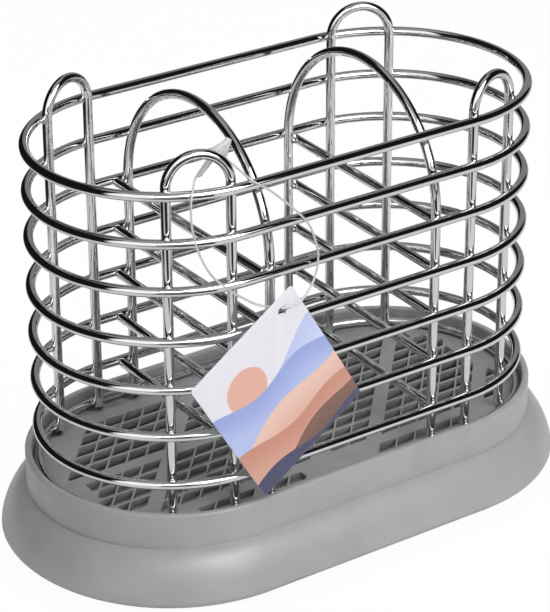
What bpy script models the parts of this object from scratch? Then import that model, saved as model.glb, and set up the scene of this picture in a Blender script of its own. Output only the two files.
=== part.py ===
"""Cutlery drainer: a chromed wire basket that stands on a lift-out grate in a moulded drip tray.

Metres, +Z up. The origin is on the surface that the tray stands on, under the middle of the part.
The long way of the tray is X, and the front is at -Y.
"""

import math

import bmesh
import bpy
from mathutils import Matrix, Vector

PART_NAME = "cutlery_drainer"

# Driving dimensions of the basket
WIRE_DIAMETER = 0.0036
HALF_STRAIGHT = 0.0495
RING_END_RADIUS = 0.0503
TOP_RING_HEIGHT = 0.1605
HAIRPIN_RISE = 0.0126
HAIRPIN_HALF_REACH = 0.0108
ARCH_RISE = 0.0119
LEFT_CROSS_WIRE_DROP = 0.0004
RIGHT_CROSS_WIRE_DROP = 0.0022
RIGHT_CROSS_WIRE_LEAN = 0.0027

# Driving dimensions of the grate
FLOOR_HEIGHT = 0.0326
GRATE_THICKNESS = 0.0028
GRATE_EDGE_CLEARANCE = 0.0004
ROW_OPENING = 0.0054
ROW_RIB = 0.0013
SLANT_OPENING = 0.00775
SLANT_RIB = 0.0009
PLAIN_BAND = 0.0055
SLANT_BAND = 0.0073
ROW_START = 0.00595
SLANT_START = 0.0068
SMALLEST_OPENING = 0.0022
LATTICE_MARGIN = 0.0053
NOTCH_RADIUS = 0.0040
NOTCH_LAND = 0.0030
PAD_RADIUS = 0.0162

# Driving dimensions of the tray
RIM_HEIGHT = 0.0393
RIM_WALL = 0.0026
RIM_CLEARANCE = 0.0007
RIM_FILLET = 0.0009
CREASE_HEIGHT = 0.0253
SKIRT_BULGE = 0.0100
SKIRT_WIDE_HEIGHT = 0.0085
FOOT_INSET = 0.0180
TRAY_FLOOR = 0.0024
LEDGE_WIDTH = 0.0022
LEDGE_THICKNESS = 0.0018

# Driving dimensions of the hang tag
CARD_WIDTH = 0.052
CARD_HEIGHT = 0.062
CARD_THICKNESS = 0.0005
CARD_CORNER_RADIUS = 0.0012
CARD_HOLE_RADIUS = 0.0019
CARD_HOLE_FROM_SIDE = 0.0081
CARD_HOLE_FROM_TOP = 0.0054
LOOP_DIAMETER = 0.0008
LOOP_POINT_SPACING = 0.0023
TOGGLE_THICKNESS = 0.0024
TOGGLE_BEHIND = 0.0117
HANG_FROM_HAIRPIN = 0.0148
CARD_HOLE_ALONG = 0.0104
CARD_OVER_RIM = 0.0020
LOOP_DROP = 0.0480

# Fits
WELD_GAP = 0.0003
SEAT_GAP = 0.0003
WELD_DISTANCE = 0.00001
AXIS_TOLERANCE = 0.000001

# Angles, radians
SLANT_ANGLE = math.radians(48.7)
CARD_TURN = math.radians(31.4)
CARD_YAW = math.radians(4.0)

# Shares of the height between the lowest ring and the top ring
RING_HEIGHT_SHARES = (1.0, 0.860, 0.717, 0.563, 0.415, 0.268, 0.113, 0.0)
# Shares of the basket's half length, each with the side of the basket it stands on
HAIRPIN_PLACE_SHARES = {"back_left": (-0.651, 1), "front_left": (-0.644, -1),
                        "back_right": (0.661, 1), "front_right": (0.624, -1)}
ARCH_PLACE_SHARES = {"left": -0.378, "right": 0.354}
# Shares of the grate's half length and half width, for the plain round pads of the lattice
PAD_PLACE_SHARES = ((-1.025, -0.069), (1.025, 0.069), (-0.026, -0.910), (0.026, 0.910))

# Counts and shape numbers
FIRST_CROSS_WIRE_RING = 2
LAST_CROSS_WIRE_RING = 6
OPENINGS_PER_GROUP = 5
GROUPS_EACH_WAY = 4
RING_ARC_STEPS = 16
HAIRPIN_ARC_STEPS = 12
ARCH_ARC_STEPS = 20
OUTLINE_ARC_STEPS = 24
TRAY_TURN_STEPS = 46
SKIRT_STEPS = 4
FILLET_STEPS = 3
NOTCH_STEPS = 10
CARD_HOLE_SIDES = 16
WIRE_BEVEL_RESOLUTION = 2
SKIRT_FULLNESS = 1.5

# Sizes worked out from the driving dimensions
WIRE_RADIUS = WIRE_DIAMETER / 2
HALF_LENGTH = HALF_STRAIGHT + RING_END_RADIUS
LEG_END_RADIUS = RING_END_RADIUS - WIRE_DIAMETER - WELD_GAP
LOWEST_RING_HEIGHT = FLOOR_HEIGHT + WIRE_RADIUS + SEAT_GAP
RIM_INNER_RADIUS = RING_END_RADIUS + WIRE_RADIUS + RIM_CLEARANCE
RIM_OUTER_RADIUS = RIM_INNER_RADIUS + RIM_WALL
GRATE_RADIUS = RIM_INNER_RADIUS - GRATE_EDGE_CLEARANCE
GRATE_UNDERSIDE = FLOOR_HEIGHT - GRATE_THICKNESS
LEDGE_HEIGHT = GRATE_UNDERSIDE - SEAT_GAP
LATTICE_RADIUS = RING_END_RADIUS - LATTICE_MARGIN
CARD_FACE_Y = -(RING_END_RADIUS + WIRE_RADIUS + SEAT_GAP + CARD_THICKNESS)
HAIRPIN_TOP_HEIGHT = TOP_RING_HEIGHT + HAIRPIN_RISE
ARCH_TOP_HEIGHT = TOP_RING_HEIGHT + ARCH_RISE

# The tag hangs at HANG_PLACE on the top ring. The loop's own points are metres from there in x, y and z,
# from the toggle's stem down through the card's hole and back over the top ring to the toggle's head.
# They hold for a hole LOOP_DROP below the top ring, and the hanging part stretches with the hole's depth
HANG_X = HAIRPIN_PLACE_SHARES["front_left"][0] * HALF_LENGTH + HANG_FROM_HAIRPIN
HANG_PLACE = (HANG_X, -RING_END_RADIUS, TOP_RING_HEIGHT)
LOOP_POINTS = (
    (-0.0120, 0.0117, 0.0024), (-0.0150, 0.0083, 0.0045), (-0.0188, 0.0040, 0.0048),
    (-0.0211, 0.0015, 0.0027), (-0.0224, 0.0005, 0.0002), (-0.0230, -0.0002, -0.0048),
    (-0.0229, -0.0007, -0.0101), (-0.0214, -0.0017, -0.0181), (-0.0176, -0.0030, -0.0269),
    (-0.0123, -0.0040, -0.0329), (-0.0063, -0.0045, -0.0382), (-0.0005, -0.0048, -0.0424),
    (0.0039, -0.0046, -0.0447), (0.0080, -0.0042, -0.0463), (0.0104, -0.0053, -0.0468),
    (0.0127, -0.0063, -0.0470), (0.0186, -0.0060, -0.0456), (0.0225, -0.0054, -0.0422),
    (0.0255, -0.0046, -0.0376), (0.0268, -0.0039, -0.0315), (0.0258, -0.0034, -0.0255),
    (0.0230, -0.0031, -0.0187), (0.0159, -0.0030, -0.0106), (0.0064, -0.0030, -0.0017),
    (0.0023, -0.0025, 0.0011), (0.0007, -0.0003, 0.0025), (-0.0002, 0.0023, 0.0040),
    (-0.0005, 0.0063, 0.0051), (-0.0008, 0.0103, 0.0059), (-0.0010, 0.0117, 0.0065),
)
# The toggle's outline, metres from HANG_PLACE in x and z, in the upright plane that it lies in
TOGGLE_OUTLINE = (
    (0.0011, 0.0130), (0.0001, 0.0137), (-0.0017, 0.0125), (-0.0065, 0.0109), (-0.0089, 0.0079),
    (-0.0124, 0.0043), (-0.0110, 0.0029), (-0.0065, 0.0059), (-0.0040, 0.0078), (-0.0011, 0.0071),
    (-0.0002, 0.0095),
)


def clear_scene():
    """Remove every object that the file holds."""
    for item in list(bpy.data.objects):
        bpy.data.objects.remove(item, do_unlink=True)


def new_collection(name):
    """Make a collection in the scene and return it."""
    collection = bpy.data.collections.new(name)
    bpy.context.scene.collection.children.link(collection)
    return collection


def give_finish(item, colour, roughness, metallic):
    """Give an object a Principled material of its own."""
    material = bpy.data.materials.new(item.name + "_finish")
    material.use_nodes = True
    shader = material.node_tree.nodes["Principled BSDF"]
    shader.inputs["Base Color"].default_value = (*colour, 1.0)
    shader.inputs["Roughness"].default_value = roughness
    shader.inputs["Metallic"].default_value = metallic
    item.data.materials.clear()
    item.data.materials.append(material)


def chrome(item):
    """Bright chrome plate, as on the wires."""
    give_finish(item, (0.80, 0.81, 0.83), 0.08, 1.0)


def grey_plastic(item, value):
    """Matte moulded plastic of a neutral grey."""
    give_finish(item, (value, value, value * 1.01), 0.55, 0.0)


def arc(centre, radius, start, end, steps):
    """Points of an arc in a plane, both ends included."""
    points = []
    for index in range(steps + 1):
        angle = start + (end - start) * index / steps
        points.append((centre[0] + radius * math.cos(angle), centre[1] + radius * math.sin(angle)))
    return points


def stadium(radius, steps):
    """Closed outline of two half circles, HALF_STRAIGHT each side of the middle."""
    quarter = math.pi / 2
    right = arc((HALF_STRAIGHT, 0), radius, -quarter, quarter, steps)
    left = arc((-HALF_STRAIGHT, 0), radius, quarter, 3 * quarter, steps)
    return right + left


def spot_on_outline(x, side, radius):
    """The point of a stadium outline at a given x, on the +Y or -Y side."""
    past_straight = max(abs(x) - HALF_STRAIGHT, 0)
    return Vector((x, side * math.sqrt(radius ** 2 - past_straight ** 2)))


def ring_height(index):
    """Height of a ring's centre line, counted from the top ring."""
    rise = TOP_RING_HEIGHT - LOWEST_RING_HEIGHT
    return LOWEST_RING_HEIGHT + rise * RING_HEIGHT_SHARES[index]


def wire_curve(name, points, collection, diameter, cyclic=False):
    """A round wire along points, as a curve with filled ends."""
    data = bpy.data.curves.new(name, "CURVE")
    data.dimensions = "3D"
    data.bevel_depth = diameter / 2
    data.bevel_resolution = WIRE_BEVEL_RESOLUTION
    data.use_fill_caps = not cyclic
    spline = data.splines.new("POLY")
    spline.points.add(len(points) - 1)
    for target, point in zip(spline.points, points):
        target.co = (point[0], point[1], point[2], 1.0)
    spline.use_cyclic_u = cyclic
    item = bpy.data.objects.new(name, data)
    collection.objects.link(item)
    return item


def outline_curve(name, outlines, thickness, collection):
    """A flat piece with holes: filled outlines in the XY plane, thick both ways along Z."""
    data = bpy.data.curves.new(name, "CURVE")
    data.dimensions = "2D"
    data.fill_mode = "BOTH"
    data.extrude = thickness / 2
    for outline in outlines:
        spline = data.splines.new("POLY")
        spline.points.add(len(outline) - 1)
        for target, point in zip(spline.points, outline):
            target.co = (point[0], point[1], 0.0, 1.0)
        spline.use_cyclic_u = True
    item = bpy.data.objects.new(name, data)
    collection.objects.link(item)
    return item


def as_mesh(item, collection):
    """Turn an object into a mesh object of its evaluated shape, with loose edges welded."""
    depsgraph = bpy.context.evaluated_depsgraph_get()
    mesh = bpy.data.meshes.new_from_object(item.evaluated_get(depsgraph))
    edit = bmesh.new()
    edit.from_mesh(mesh)
    bmesh.ops.remove_doubles(edit, verts=edit.verts, dist=WELD_DISTANCE)
    bmesh.ops.recalc_face_normals(edit, faces=edit.faces)
    edit.to_mesh(mesh)
    edit.free()
    name = item.name
    place = item.matrix_world.copy()
    bpy.data.objects.remove(item, do_unlink=True)
    result = bpy.data.objects.new(name, mesh)
    result.matrix_world = place
    collection.objects.link(result)
    return result


def shade_round(item, angle=math.radians(35)):
    """Shade smooth, but keep edges sharper than the angle."""
    item.data.shade_smooth()
    item.data.set_sharp_from_angle(angle=angle)


def joint_frame(name, place, parent, collection):
    """An empty on a joint's axis, which carries the pieces that move."""
    frame = bpy.data.objects.new(name, None)
    frame.empty_display_size = RIM_HEIGHT
    collection.objects.link(frame)
    if parent is not None:
        frame.parent = parent
        frame.matrix_parent_inverse = Matrix.Translation(-parent_place(parent))
    frame.location = place
    return frame


def parent_place(frame):
    """World place of a joint frame; the frames are never turned."""
    place = frame.location.copy()
    if frame.parent is not None:
        place = frame.matrix_parent_inverse @ place + parent_place(frame.parent)
    return place


def carry(item, frame):
    """Parent a piece to a joint frame and leave it where it is in the world."""
    item.parent = frame
    item.matrix_parent_inverse = Matrix.Translation(-parent_place(frame))


# Drip tray

def skirt_points(top_radius, top_height, wide_height, foot_height):
    """Half section of the skirt's curve, from the crease out to its widest and in to the foot."""
    points = []
    power = 1 / SKIRT_FULLNESS
    for index in range(SKIRT_STEPS + 1):
        share = 1 - index / SKIRT_STEPS
        swell = SKIRT_BULGE * (1 - share ** SKIRT_FULLNESS) ** power
        points.append((top_radius + swell, wide_height + (top_height - wide_height) * share))
    for index in range(1, SKIRT_STEPS + 1):
        share = index / SKIRT_STEPS
        tuck = FOOT_INSET * (1 - (1 - share ** SKIRT_FULLNESS) ** power)
        points.append((top_radius + SKIRT_BULGE - tuck, wide_height - (wide_height - foot_height) * share))
    return points


def tray_profile():
    """Closed half section of the tray, from the inner floor's middle round to the underside's."""
    quarter = math.pi / 2
    inner = skirt_points(RIM_INNER_RADIUS, CREASE_HEIGHT, SKIRT_WIDE_HEIGHT, TRAY_FLOOR)
    points = [(0, TRAY_FLOOR)] + inner[::-1]
    ledge_radius = RIM_INNER_RADIUS - LEDGE_WIDTH
    ledge_underside = LEDGE_HEIGHT - LEDGE_THICKNESS
    points += [(RIM_INNER_RADIUS, ledge_underside), (ledge_radius, ledge_underside)]
    points += [(ledge_radius, LEDGE_HEIGHT), (RIM_INNER_RADIUS, LEDGE_HEIGHT)]
    fillet_height = RIM_HEIGHT - RIM_FILLET
    inner_centre = (RIM_INNER_RADIUS + RIM_FILLET, fillet_height)
    outer_centre = (RIM_OUTER_RADIUS - RIM_FILLET, fillet_height)
    points += arc(inner_centre, RIM_FILLET, 2 * quarter, quarter, FILLET_STEPS)
    points += arc(outer_centre, RIM_FILLET, quarter, 0, FILLET_STEPS)
    points += skirt_points(RIM_OUTER_RADIUS, CREASE_HEIGHT, SKIRT_WIDE_HEIGHT, 0)
    points.append((0, 0))
    return points


def stretch_ends(mesh):
    """Move the two halves of a turned mesh apart along X, so that its round plan is a stadium."""
    for vertex in mesh.vertices:
        if abs(vertex.co.x) > AXIS_TOLERANCE:
            vertex.co.x += math.copysign(HALF_STRAIGHT, vertex.co.x)


def build_tray(parts):
    """The moulded tray: rim, ledge for the grate, basin and bulging skirt."""
    points = tray_profile()
    mesh = bpy.data.meshes.new("base_tray")
    edges = [(index, index + 1) for index in range(len(points) - 1)]
    mesh.from_pydata([(x, 0, z) for x, z in points], edges, [])
    item = bpy.data.objects.new("base_tray", mesh)
    parts.objects.link(item)
    turn = item.modifiers.new("turn", "SCREW")
    turn.steps = TRAY_TURN_STEPS
    turn.render_steps = TRAY_TURN_STEPS
    turn.use_merge_vertices = True
    turn.merge_threshold = WELD_DISTANCE
    item = as_mesh(item, parts)
    stretch_ends(item.data)
    shade_round(item)
    grey_plastic(item, 0.38)


# Grate

def hairpin_legs(share, side, radius):
    """Plan places of a hairpin's two legs on an outline of the given end radius."""
    centre = share * HALF_LENGTH
    xs = (centre - HAIRPIN_HALF_REACH, centre + HAIRPIN_HALF_REACH)
    return [spot_on_outline(x, side, radius) for x in xs]


def leg_directions():
    """Plan places under the lowest ring where a leg meets it, for the grate's notches."""
    spots = []
    for share, side in HAIRPIN_PLACE_SHARES.values():
        spots += [ring_side_of_leg(leg) for leg in hairpin_legs(share, side, LEG_END_RADIUS)]
    for share in ARCH_PLACE_SHARES.values():
        for side in (-1, 1):
            spots.append(ring_side_of_leg(spot_on_outline(share * HALF_LENGTH, side, LEG_END_RADIUS)))
    return spots


def ring_side_of_leg(leg):
    """The point of the rings' centre line that lies straight outside a leg."""
    centre_x = max(-HALF_STRAIGHT, min(HALF_STRAIGHT, leg.x))
    centre = Vector((centre_x, 0))
    return centre + (leg - centre).normalized() * RING_END_RADIUS


def plain_discs():
    """Round places of the grate with no lattice openings: centre x, centre y and radius."""
    discs = [(spot.x, spot.y, NOTCH_RADIUS + NOTCH_LAND) for spot in leg_directions()]
    for share_x, share_y in PAD_PLACE_SHARES:
        place_x = share_x * (HALF_STRAIGHT + GRATE_RADIUS)
        discs.append((place_x, share_y * GRATE_RADIUS, PAD_RADIUS))
    return discs


def spaced_starts(start, opening, rib, band):
    """Starts of openings in groups, with a plain band between one group and the next."""
    starts = []
    pitch = opening + rib
    group_pitch = (OPENINGS_PER_GROUP - 1) * pitch + opening + band
    for group in range(-GROUPS_EACH_WAY, GROUPS_EACH_WAY):
        for index in range(OPENINGS_PER_GROUP):
            starts.append(start + group * group_pitch + index * pitch)
    return starts


def clear_spans(low, high, discs):
    """Stretches along X where a row between two y values may have openings."""
    far = max(abs(low), abs(high))
    if far >= LATTICE_RADIUS:
        return []
    reach = HALF_STRAIGHT + math.sqrt(LATTICE_RADIUS ** 2 - far ** 2)
    spans = [(-reach, reach)]
    for x, y, radius in discs:
        gap = max(low - y, y - high, 0)
        if gap < radius:
            half = math.sqrt(radius ** 2 - gap ** 2)
            spans = cut_spans(spans, x - half, x + half)
    return spans


def cut_spans(spans, start, end):
    """Take the stretch between start and end out of a list of stretches."""
    left = []
    for low, high in spans:
        if low < start:
            left.append((low, min(high, start)))
        if high > end:
            left.append((max(low, end), high))
    return [span for span in left if span[1] > span[0]]


def clip_side(points, limit, sign):
    """Keep the part of a convex outline whose x is on one side of a limit."""
    kept = []
    for index, point in enumerate(points):
        before = points[index - 1]
        inside = (point[0] - limit) * sign >= 0
        if inside != ((before[0] - limit) * sign >= 0):
            share = (limit - before[0]) / (point[0] - before[0])
            kept.append((limit, before[1] + (point[1] - before[1]) * share))
        if inside:
            kept.append(point)
    return kept


def lattice_outlines():
    """Outlines of the grate's openings: slanted cells in rows, clipped to the clear stretches."""
    outlines = []
    discs = plain_discs()
    lean = 1 / math.tan(SLANT_ANGLE)
    for low in spaced_starts(ROW_START, ROW_OPENING, ROW_RIB, PLAIN_BAND):
        high = low + ROW_OPENING
        for span in clear_spans(low, high, discs):
            for start in spaced_starts(SLANT_START, SLANT_OPENING, SLANT_RIB, SLANT_BAND):
                near = start + (low - ROW_START) * lean
                far = start + (high - ROW_START) * lean
                cell = [(near, low), (near + SLANT_OPENING, low), (far + SLANT_OPENING, high), (far, high)]
                cell = clip_side(clip_side(cell, span[0], 1), span[1], -1)
                if len(cell) > 2 and cell_width(cell) > SMALLEST_OPENING:
                    outlines.append(cell)
    return outlines


def cell_width(cell):
    """Mean width along X of an opening, from its area."""
    area = 0
    for index, point in enumerate(cell):
        before = cell[index - 1]
        area += before[0] * point[1] - point[0] * before[1]
    return abs(area) / 2 / ROW_OPENING


def notch_points(spot):
    """Points of one notch, from the grate's edge in round a circle under the ring and out again."""
    centre_x = max(-HALF_STRAIGHT, min(HALF_STRAIGHT, spot.x))
    out = (spot - Vector((centre_x, 0))).normalized()
    along = Vector((-out.y, out.x))
    mouth = math.asin((GRATE_RADIUS - RING_END_RADIUS) / NOTCH_RADIUS)
    turns = arc((0, 0), NOTCH_RADIUS, math.pi - mouth, 2 * math.pi + mouth, NOTCH_STEPS)
    return [tuple(spot + along * x + out * y) for x, y in turns]


def polar_angle(point):
    """Direction of a point from the middle; it grows steadily along a stadium outline."""
    return math.atan2(point[1], point[0])


def notched_outline():
    """The grate's outline, with a notch under every place where a leg meets the lowest ring."""
    spots = leg_directions()
    stretches = []
    for point in stadium(GRATE_RADIUS, OUTLINE_ARC_STEPS):
        if all((Vector(point) - spot).length > NOTCH_RADIUS for spot in spots):
            stretches.append((polar_angle(point), [point]))
    for spot in spots:
        stretches.append((polar_angle(spot), notch_points(spot)))
    stretches.sort(key=lambda stretch: stretch[0])
    return [point for _, points in stretches for point in points]


def build_grate(parts, frame):
    """The lift-out floor with slanted openings, plain bands and notches under the legs."""
    outlines = [notched_outline()] + lattice_outlines()
    item = outline_curve("grate", outlines, GRATE_THICKNESS, parts)
    item = as_mesh(item, parts)
    for vertex in item.data.vertices:
        vertex.co.z += FLOOR_HEIGHT - GRATE_THICKNESS / 2
    grey_plastic(item, 0.18)
    carry(item, frame)


# Wire basket

def build_rings(parts, frame):
    """The eight closed rings, from the top one down to the one that stands on the grate."""
    for index in range(len(RING_HEIGHT_SHARES)):
        height = ring_height(index)
        points = [(x, y, height) for x, y in stadium(RING_END_RADIUS, RING_ARC_STEPS)]
        item = wire_curve("ring_" + str(index + 1), points, parts, WIRE_DIAMETER, cyclic=True)
        chrome(item)
        carry(item, frame)


def bridge_points(first, second, top_height, steps):
    """Up from one leg's foot, over in a half circle, and down to the other leg's foot."""
    middle = (first + second) / 2
    along = (second - first) / 2
    radius = along.length
    spring_height = top_height - radius
    points = [(first.x, first.y, LOWEST_RING_HEIGHT)]
    for share, lift in arc((0, 0), 1, math.pi, 0, steps):
        spot = middle + along * share
        points.append((spot.x, spot.y, spring_height + radius * lift))
    points.append((second.x, second.y, LOWEST_RING_HEIGHT))
    return points


def build_hairpins(parts, frame):
    """The four corner uprights, each bent over at the top into a round hairpin."""
    for name, (share, side) in HAIRPIN_PLACE_SHARES.items():
        first, second = hairpin_legs(share, side, LEG_END_RADIUS)
        points = bridge_points(first, second, HAIRPIN_TOP_HEIGHT, HAIRPIN_ARC_STEPS)
        item = wire_curve("hairpin_" + name, points, parts, WIRE_DIAMETER)
        chrome(item)
        carry(item, frame)


def cross_wire_ends(name, ring_at):
    """Front and back end of a cross wire that lies beside an arch's back leg.

    The left wires run straight across between the ring's inner sides. The right wires lean, and their
    front ends meet the inner side of the arch's front leg.
    """
    place_x = ARCH_PLACE_SHARES[name] * HALF_LENGTH
    beside = place_x + math.copysign(WIRE_DIAMETER + WELD_GAP, place_x)
    ring_reach = RING_END_RADIUS - WIRE_RADIUS - WELD_GAP
    if name == "left":
        height = ring_at - LEFT_CROSS_WIRE_DROP
        return (beside, -ring_reach, height), (beside, ring_reach, height)
    height = ring_at - RIGHT_CROSS_WIRE_DROP
    leg_reach = LEG_END_RADIUS - WIRE_RADIUS - WELD_GAP
    return (beside - RIGHT_CROSS_WIRE_LEAN, -leg_reach, height), (beside + SEAT_GAP, ring_reach, height)


def build_dividers(parts, frame):
    """The two arches across the basket, with the cross wires welded to their legs."""
    for name, share in ARCH_PLACE_SHARES.items():
        place_x = share * HALF_LENGTH
        first = spot_on_outline(place_x, -1, LEG_END_RADIUS)
        second = spot_on_outline(place_x, 1, LEG_END_RADIUS)
        points = bridge_points(first, second, ARCH_TOP_HEIGHT, ARCH_ARC_STEPS)
        item = wire_curve("divider_arch_" + name, points, parts, WIRE_DIAMETER)
        chrome(item)
        carry(item, frame)
        for index in range(FIRST_CROSS_WIRE_RING, LAST_CROSS_WIRE_RING + 1):
            ends = cross_wire_ends(name, ring_height(index))
            label = "cross_wire_" + name + "_" + str(index - FIRST_CROSS_WIRE_RING + 1)
            wire = wire_curve(label, ends, parts, WIRE_DIAMETER)
            chrome(wire)
            carry(wire, frame)


# Hang tag

def rounded_rectangle(low_x, low_y, high_x, high_y, radius):
    """Outline of a rectangle with round corners."""
    quarter = math.pi / 2
    points = arc((high_x - radius, high_y - radius), radius, 0, quarter, FILLET_STEPS)
    points += arc((low_x + radius, high_y - radius), radius, quarter, 2 * quarter, FILLET_STEPS)
    points += arc((low_x + radius, low_y + radius), radius, 2 * quarter, 3 * quarter, FILLET_STEPS)
    points += arc((high_x - radius, low_y + radius), radius, 3 * quarter, 4 * quarter, FILLET_STEPS)
    return points


def circle(radius, sides):
    """Closed outline of a circle round the origin."""
    return arc((0, 0), radius, 0, 2 * math.pi * (sides - 1) / sides, sides - 1)


def card_hole_drop():
    """Depth of the card's hole below the top ring, with the card's lowest corner just over the tray's rim."""
    low_x = CARD_HOLE_FROM_SIDE - CARD_WIDTH
    low_y = CARD_HOLE_FROM_TOP - CARD_HEIGHT
    corner_depth = -low_x * math.sin(CARD_TURN) - low_y * math.cos(CARD_TURN)
    return TOP_RING_HEIGHT - RIM_HEIGHT - CARD_OVER_RIM - corner_depth


def build_card(parts, frame):
    """The printed card, hung by a hole near its top corner, flat against the front of the rings."""
    high_x = CARD_HOLE_FROM_SIDE
    high_y = CARD_HOLE_FROM_TOP
    low_x = high_x - CARD_WIDTH
    low_y = high_y - CARD_HEIGHT
    outlines = [rounded_rectangle(low_x, low_y, high_x, high_y, CARD_CORNER_RADIUS)]
    outlines.append(circle(CARD_HOLE_RADIUS, CARD_HOLE_SIDES))
    item = outline_curve("tag_card", outlines, CARD_THICKNESS, parts)
    item = as_mesh(item, parts)
    turn = Matrix.Rotation(CARD_YAW, 4, "Z") @ Matrix.Rotation(math.pi / 2, 4, "X")
    turn = turn @ Matrix.Rotation(CARD_TURN, 4, "Z")
    hole_x = HANG_PLACE[0] + CARD_HOLE_ALONG
    hole_y = CARD_FACE_Y + hole_x * math.tan(CARD_YAW)
    item.data.transform(Matrix.Translation((hole_x, hole_y, HANG_PLACE[2] - card_hole_drop())) @ turn)
    give_finish(item, (0.82, 0.82, 0.88), 0.45, 0.0)
    carry(item, frame)


def smooth_route(points, spacing):
    """Points at a steady spacing along a smooth curve through the route's points."""
    route = [2 * points[0] - points[1]] + points + [2 * points[-1] - points[-2]]
    samples = [route[1]]
    for index in range(1, len(route) - 2):
        before, start, end, after = route[index - 1:index + 3]
        count = max(1, round((end - start).length / spacing))
        for step in range(1, count + 1):
            share = step / count
            pull = (end - before) * (share - 2 * share ** 2 + share ** 3) / 2
            push = (after - start) * (share ** 3 - share ** 2) / 2
            blend = start * (1 - 3 * share ** 2 + 2 * share ** 3) + end * (3 * share ** 2 - 2 * share ** 3)
            samples.append(blend + pull + push)
    return samples


def build_loop(parts, frame):
    """The nylon filament that the card hangs on."""
    stretch = card_hole_drop() / LOOP_DROP
    offsets = [Vector((x, y, z if z > 0 else z * stretch)) for x, y, z in LOOP_POINTS]
    route = [Vector(HANG_PLACE) + offset for offset in offsets]
    points = smooth_route(route, LOOP_POINT_SPACING)
    item = wire_curve("tag_loop", points, parts, LOOP_DIAMETER)
    give_finish(item, (0.78, 0.78, 0.78), 0.30, 0.0)
    carry(item, frame)


def build_toggle(parts, frame):
    """The small moulded lock that joins the filament's two ends."""
    outline = [(HANG_PLACE[0] + x, HANG_PLACE[2] + z) for x, z in TOGGLE_OUTLINE]
    item = outline_curve("tag_toggle", [outline], TOGGLE_THICKNESS, parts)
    item = as_mesh(item, parts)
    stand = Matrix.Translation((0, HANG_PLACE[1] + TOGGLE_BEHIND, 0)) @ Matrix.Rotation(math.pi / 2, 4, "X")
    item.data.transform(stand)
    give_finish(item, (0.62, 0.62, 0.62), 0.40, 0.0)
    carry(item, frame)


def main():
    """Build every piece of the drainer."""
    clear_scene()
    parts = new_collection(PART_NAME)
    grate_lift = joint_frame("grate_lift", (0, 0, GRATE_UNDERSIDE), None, parts)
    basket_lift = joint_frame("basket_lift", (0, 0, FLOOR_HEIGHT), grate_lift, parts)
    tag_swing = joint_frame("tag_swing", HANG_PLACE, basket_lift, parts)
    build_tray(parts)
    build_grate(parts, grate_lift)
    build_rings(parts, basket_lift)
    build_hairpins(parts, basket_lift)
    build_dividers(parts, basket_lift)
    build_card(parts, tag_swing)
    build_loop(parts, tag_swing)
    build_toggle(parts, tag_swing)


main()
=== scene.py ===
"""Cutlery drainer, dressed: chromed wires, a moulded tray and grate, and a printed hang tag.

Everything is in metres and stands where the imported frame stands. The front, with the tag, is at -Y.
"""

import logging
import math
from collections.abc import Sequence
from dataclasses import dataclass, field
from enum import Enum

import bpy
from mathutils import Matrix, Vector

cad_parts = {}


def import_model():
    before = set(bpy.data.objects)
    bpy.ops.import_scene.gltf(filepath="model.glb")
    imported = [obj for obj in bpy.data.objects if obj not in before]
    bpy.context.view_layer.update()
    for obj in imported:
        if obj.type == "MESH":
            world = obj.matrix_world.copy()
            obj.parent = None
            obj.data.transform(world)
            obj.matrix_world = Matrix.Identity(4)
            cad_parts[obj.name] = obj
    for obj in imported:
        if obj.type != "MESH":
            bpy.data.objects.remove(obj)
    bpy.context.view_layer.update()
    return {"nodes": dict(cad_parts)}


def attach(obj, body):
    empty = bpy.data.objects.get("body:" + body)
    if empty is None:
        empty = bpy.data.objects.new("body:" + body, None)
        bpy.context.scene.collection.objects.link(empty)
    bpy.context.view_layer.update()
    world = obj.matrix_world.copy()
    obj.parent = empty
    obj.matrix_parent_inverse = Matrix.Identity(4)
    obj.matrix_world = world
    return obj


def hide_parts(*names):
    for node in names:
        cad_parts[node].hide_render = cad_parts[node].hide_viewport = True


LOG = logging.getLogger("cutlery_drainer")
UP = Vector((0.0, 0.0, 1.0))
MERGE = 0.00001  # vertices nearer to each other than this become one
SEED = 0.001  # size of the plane that a drawn line starts from

Colour = tuple[float, float, float]
Material = bpy.types.Material
Node = bpy.types.Node
Piece = bpy.types.Object
Socket = bpy.types.NodeSocket


class Side(Enum):
    """The long sides of the basket."""

    FRONT = -1
    BACK = 1


@dataclass(frozen=True)
class Plan:
    """Sizes that more than one sub-assembly shares."""

    wire: float = 0.0036
    half_straight: float = 0.0495
    ring_radius: float = 0.0503
    top_ring: float = 0.1605
    floor: float = 0.0326
    seat_gap: float = 0.0003
    weld_gap: float = 0.0003
    ring_shares: tuple[float, ...] = (1.0, 0.860, 0.717, 0.563, 0.415, 0.268, 0.113, 0.0)

    @property
    def radius(self) -> float:
        """Radius of the wire."""
        return self.wire / 2

    @property
    def leg_radius(self) -> float:
        """End radius of the outline that the uprights stand on."""
        return self.ring_radius - self.wire - self.weld_gap

    @property
    def low_ring(self) -> float:
        """Height of the lowest ring's centre line."""
        return self.floor + self.radius + self.seat_gap

    @property
    def half_length(self) -> float:
        """Half of the rings' length, on their centre line."""
        return self.half_straight + self.ring_radius

    @property
    def ring_heights(self) -> list[float]:
        """Heights of the rings' centre lines, from the top ring down."""
        return [self.low_ring + (self.top_ring - self.low_ring) * share for share in self.ring_shares]

    def spot(self, x: float, side: Side, radius: float) -> Vector:
        """Point of a stadium outline at a given x.

        Args:
            x: place along the drainer.
            side: front or back.
            radius: end radius of the outline.

        Returns:
            The point, at height zero.
        """
        past = max(abs(x) - self.half_straight, 0.0)
        return Vector((x, side.value * math.sqrt(radius**2 - past**2), 0.0))

    def outward(self, spot: Vector) -> Vector:
        """Level direction that points straight out of the stadium at a spot."""
        middle = Vector((max(-self.half_straight, min(self.half_straight, spot.x)), 0.0, 0.0))
        flat = Vector((spot.x, spot.y, 0.0))
        return (flat - middle).normalized()


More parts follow.
